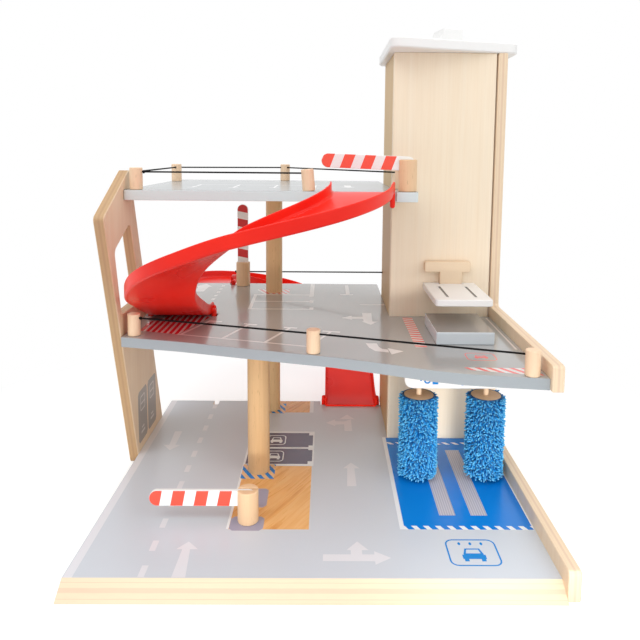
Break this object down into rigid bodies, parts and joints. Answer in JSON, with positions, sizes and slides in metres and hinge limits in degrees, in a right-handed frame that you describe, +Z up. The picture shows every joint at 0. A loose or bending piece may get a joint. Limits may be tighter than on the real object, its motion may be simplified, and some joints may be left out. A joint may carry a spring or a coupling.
{
  "type": "toy parking garage with lift",
  "caption": "Wooden toy parking garage: printed decks on posts, hollow tower with a sliding lift, plastic slides, swing barriers and a roller wash.",
  "frame": {"origin": "middle of the base board's underside", "axes": "+X to the right as seen from the open front, +Y to the back, +Z up"},
  "size_m": [0.495, 0.6622, 0.5643],
  "materials": {
    "plywood": "satin",
    "beech": "satin",
    "base_print": "satin",
    "mid_print": "gloss",
    "top_print": "satin",
    "white_paint": "satin",
    "barrier_paint": "satin",
    "red_plastic": "gloss",
    "blue_pile": "matte",
    "grey_paint": "satin",
    "elastic_cord": "matte",
    "steel": "satin"
  },
  "bodies": {
    "garage": {"base_board": "base_print", "left_side_panel": "plywood", "right_side_wall": "plywood", "tower_front_panel": "plywood", "tower_left_wall": "plywood", "tower_roof": "white_paint", "mid_deck": "mid_print", "top_deck": "top_print", "column_front_lower": "beech", "column_rear_lower": "beech", "column_rear_upper": "beech", "top_post_front_mid": "beech", "top_post_front_left": "beech", "top_post_back_left": "beech", "top_post_back_mid": "beech", "top_post_back_right": "beech", "mid_post_front_left": "beech", "mid_post_front_mid": "beech", "mid_post_front_right": "beech", "top_cord": "elastic_cord", "mid_front_cord": "elastic_cord", "mid_back_cord": "elastic_cord", "base_barrier_post": "beech", "base_barrier_pin": "steel", "top_barrier_post": "beech", "top_barrier_pin": "steel", "back_barrier_post": "beech", "back_barrier_pin": "steel", "upper_slide": "red_plastic", "lower_slide": "red_plastic", "wash_sign_board": "white_paint", "roller_dowel_left": "beech", "roller_washer_left": "beech", "roller_dowel_right": "beech", "roller_washer_right": "beech", "lift_steel_strip": "steel", "landing_block": "grey_paint", "wall_screw_base_front": "steel", "wall_screw_base_back": "steel", "wall_screw_mid_front": "steel", "wall_screw_mid_back": "steel", "wall_screw_tower_low": "steel", "wall_screw_tower_high": "steel"},
    "base_arm": {"base_barrier_arm": "barrier_paint"},
    "top_arm": {"top_barrier_arm": "barrier_paint"},
    "back_arm": {"back_barrier_arm": "barrier_paint"},
    "roller_left": {"roller_core_left": "beech", "roller_cover_left": "blue_pile"},
    "roller_right": {"roller_core_right": "beech", "roller_cover_right": "blue_pile"},
    "lift": {"lift_platform": "white_paint", "lift_back_board": "plywood", "lift_magnet_low": "steel", "lift_magnet_high": "steel"},
    "roof_turner": {"roof_block": "white_paint", "roof_spindle": "beech"}
  },
  "joints": [
    {"name": "base_barrier_hinge", "type": "hinge", "parent": "garage", "child": "base_arm", "pos_m": [-0.07, -0.104, 0.0375], "axis": [0, 1, 0], "range_deg": [0, 90]},
    {"name": "top_barrier_hinge", "type": "hinge", "parent": "garage", "child": "top_arm", "pos_m": [0.1063, 0.0205, 0.385], "axis": [0, 1, 0], "range_deg": [-2, 88]},
    {"name": "back_barrier_hinge", "type": "hinge", "parent": "garage", "child": "back_arm", "pos_m": [-0.124, 0.273, 0.2105], "axis": [0, 1, 0], "range_deg": [-90, 0]},
    {"name": "roller_left_spin", "type": "hinge", "parent": "garage", "child": "roller_left", "pos_m": [0.1215, -0.009, 0.062], "axis": [0, 0, 1], "continuous": true},
    {"name": "roller_right_spin", "type": "hinge", "parent": "garage", "child": "roller_right", "pos_m": [0.2015, -0.009, 0.062], "axis": [0, 0, 1], "continuous": true},
    {"name": "lift_slide", "type": "slide", "parent": "garage", "child": "lift", "axis": [0, 0, 1], "range_m": [-0.023, 0.124]},
    {"name": "roof_block_turn", "type": "hinge", "parent": "garage", "child": "roof_turner", "pos_m": [0.163, 0.152, 0.542], "axis": [0, 0, 1], "continuous": true}
  ]
}
